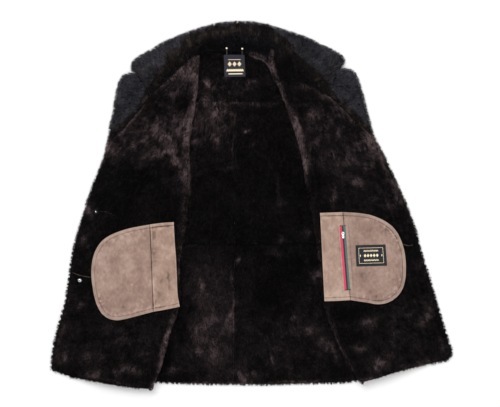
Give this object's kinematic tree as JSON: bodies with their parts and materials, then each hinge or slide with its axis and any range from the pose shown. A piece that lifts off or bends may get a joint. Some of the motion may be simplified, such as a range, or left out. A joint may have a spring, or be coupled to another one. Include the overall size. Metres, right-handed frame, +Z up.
{
  "type": "coat",
  "caption": "Shearling coat laid open on its back, fur side up, its fronts folded outwards, with a spread collar, inside pockets, a pocket zip and a hanger loop.",
  "frame": {"origin": "middle of the coat's box, on the surface it lies on", "axes": "+Z up out of the surface, +Y towards the collar, +X towards the front with the zipped pocket"},
  "size_m": [1.0036, 0.9174, 0.0599],
  "materials": {
    "fur": "dense matt fur",
    "collar_fur": "smooth short fur",
    "suede": "matt suede",
    "red_tape": "woven tape",
    "green_tape": "woven tape",
    "chain": "moulded teeth",
    "chrome": "bright plate",
    "brass": "polished",
    "cord": "twisted cord",
    "label_leather": "smooth"
  },
  "bodies": {
    "coat": {"back_yoke": "fur", "back_upper_left": "fur", "back_upper_right": "fur", "back_lower_left": "fur", "back_lower_right": "fur", "front_left": "fur", "front_right": "fur", "collar_left": "collar_fur", "collar_right": "collar_fur", "lapel_left": "collar_fur", "lapel_right": "collar_fur", "sleeve_left": "suede", "sleeve_right": "suede", "pocket_left_strip": "suede", "pocket_left_bag": "suede", "pocket_right_strip": "suede", "pocket_right_bag": "suede", "zip_tape_red": "red_tape", "zip_tape_green": "green_tape", "zip_chain": "chain", "zip_slider": "chrome", "stud_1": "chrome", "stud_2": "chrome", "rivet_1": "brass", "rivet_2": "brass", "hanger_loop": "cord", "neck_label": "label_leather", "pocket_label": "label_leather"},
    "pull_tab": {"zip_pull": "chrome"}
  },
  "joints": [
    {"name": "pull_tab_hinge", "type": "hinge", "parent": "coat", "child": "pull_tab", "pos_m": [0.22826, -0.06894, 0.05855], "axis": [-0.997, -0.077, 0], "range_deg": [0, 165]}
  ]
}
